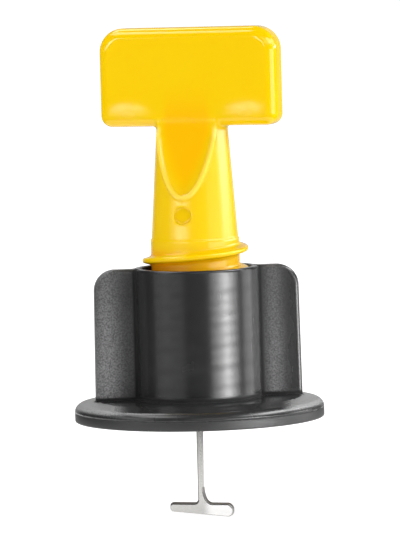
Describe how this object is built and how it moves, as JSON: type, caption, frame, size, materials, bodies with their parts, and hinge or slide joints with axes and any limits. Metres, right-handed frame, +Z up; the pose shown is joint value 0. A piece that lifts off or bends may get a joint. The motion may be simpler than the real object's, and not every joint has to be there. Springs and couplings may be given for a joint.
{
  "type": "tile levelling clip",
  "caption": "Reusable tile levelling clip: a T-handle with a steel T-needle, and a winged cap that screws along its thread to press a round pad on the tiles.",
  "frame": {"origin": "on the thread's axis, in the plane of the pad ring's underside, which is the tile face", "axes": "+Z up along the thread's axis, towards the finger plate; +X along the finger plate and the needle's foot"},
  "size_m": [0.048, 0.048, 0.0944],
  "materials": {
    "pad": "satin black moulding",
    "cap": "glossy charcoal black moulding",
    "handle": "glossy yellow moulding",
    "needle": "bright plated steel"
  },
  "bodies": {
    "pad": {"base_ring": "pad"},
    "winged_cap": {"cap": "cap"},
    "t_handle": {"handle": "handle", "needle": "needle"}
  },
  "joints": [
    {"name": "cap_turn", "type": "hinge", "parent": "pad", "child": "winged_cap", "pos_m": [0, 0, 0], "axis": [0, 0, 1], "range_deg": [-1080, 0]},
    {"name": "handle_draw", "type": "slide", "parent": "pad", "child": "t_handle", "axis": [0, 0, 1], "range_m": [0, 0.0123]}
  ],
  "couplings": [
    {"joint": "handle_draw", "follows": "cap_turn", "m_per_rad": -0.00065253}
  ]
}
